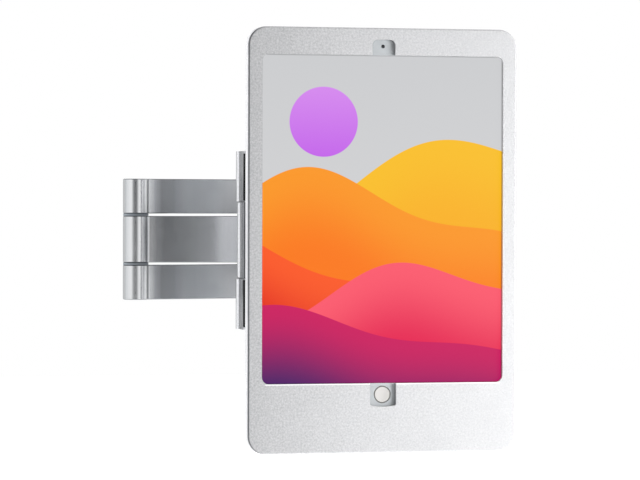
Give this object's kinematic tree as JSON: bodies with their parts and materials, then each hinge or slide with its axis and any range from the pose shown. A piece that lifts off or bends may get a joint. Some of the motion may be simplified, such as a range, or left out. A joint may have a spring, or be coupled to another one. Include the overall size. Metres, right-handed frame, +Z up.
{
  "type": "tablet wall mount",
  "caption": "Folding wall arm with interleaved barrel hinges that carries a framed tablet enclosure on a swivelling, tilting and turning head.",
  "frame": {"origin": "centre of the wall plate's four-hole pattern, on the wall plane", "axes": "+Z up, +Y into the wall, the screen faces -Y, +X to the right seen from the room"},
  "size_m": [0.2505, 0.1551, 0.28],
  "materials": {
    "wall_steel": "silver powder coat",
    "band_aluminium": "satin anodised",
    "zinc_steel": "bright zinc plate",
    "grey_nylon": "matte",
    "cast_silver": "silver powder coat",
    "saddle_steel": "satin silver",
    "black_rubber": "matte",
    "enclosure_powder": "fine textured silver powder coat",
    "black_foam": "closed cell foam",
    "tablet_aluminium": "bead blasted",
    "white_glass": "polished, white backed",
    "display": "polished, lit picture",
    "lens_glass": "polished, dark",
    "button_glass": "polished, white",
    "ring_steel": "polished ring"
  },
  "bodies": {
    "wall_side": {"wall_plate": "wall_steel", "wall_knuckle": "band_aluminium", "wall_knuckle_screws": "zinc_steel", "wall_bushing": "grey_nylon"},
    "rear_arm": {"rear_arm_upper": "band_aluminium", "rear_arm_lower": "band_aluminium", "wall_pin": "zinc_steel", "wall_pin_nut": "zinc_steel", "wall_cap_top": "band_aluminium", "wall_cap_bottom": "band_aluminium", "wall_washer_upper": "grey_nylon", "wall_washer_lower": "grey_nylon", "elbow_pin": "zinc_steel", "elbow_pin_nut": "zinc_steel", "elbow_cap_top": "band_aluminium", "elbow_cap_bottom": "band_aluminium", "elbow_washer_upper": "grey_nylon", "elbow_washer_lower": "grey_nylon"},
    "forearm": {"front_arm": "band_aluminium", "elbow_bushing": "grey_nylon", "head_bushing": "grey_nylon"},
    "head": {"swivel_yoke": "cast_silver", "head_pin": "zinc_steel", "head_pin_nut": "zinc_steel", "head_washer_upper": "grey_nylon", "head_washer_lower": "grey_nylon"},
    "tilt_head": {"tilt_bracket": "cast_silver", "tilt_bolt": "zinc_steel", "tilt_nut": "zinc_steel", "tilt_washers": "grey_nylon", "rotation_bolt": "zinc_steel", "rotation_nut": "zinc_steel", "rotation_washer": "grey_nylon"},
    "screen": {"screen_plate": "wall_steel", "screen_plate_screws": "zinc_steel", "saddle": "saddle_steel", "standoffs": "zinc_steel", "edge_gaskets": "black_rubber", "rear_tray": "enclosure_powder", "front_cover": "enclosure_powder", "cover_screws": "zinc_steel", "cover_gasket": "black_foam", "tablet_body": "tablet_aluminium", "tablet_bezel": "white_glass", "tablet_display": "display", "camera_lens": "lens_glass", "home_button_ring": "ring_steel", "side_pads": "black_foam", "back_pad": "black_foam"},
    "button": {"home_button": "button_glass"}
  },
  "joints": [
    {"name": "wall_swivel", "type": "hinge", "parent": "wall_side", "child": "rear_arm", "pos_m": [0, -0.024, 0], "axis": [0, 0, 1], "range_deg": [-15, 105]},
    {"name": "elbow_fold", "type": "hinge", "parent": "rear_arm", "child": "forearm", "pos_m": [-0.14489, -0.06282, 0], "axis": [0, 0, -1], "range_deg": [-10, 160]},
    {"name": "head_swivel", "type": "hinge", "parent": "forearm", "child": "head", "pos_m": [0.00465, -0.07459, 0], "axis": [0, 0, 1], "range_deg": [-12, 90]},
    {"name": "head_tilt", "type": "hinge", "parent": "head", "child": "tilt_head", "pos_m": [0.00465, -0.09459, 0], "axis": [1, 0, 0], "range_deg": [-20, 20]},
    {"name": "screen_turn", "type": "hinge", "parent": "tilt_head", "child": "screen", "pos_m": [0.00465, -0.11759, 0], "axis": [0, 1, 0], "range_deg": [-90, 90]},
    {"name": "home_button_press", "type": "slide", "parent": "screen", "child": "button", "axis": [0, 1, 0], "range_m": [0, 0.0004], "stiffness_N_per_m": 2500}
  ]
}
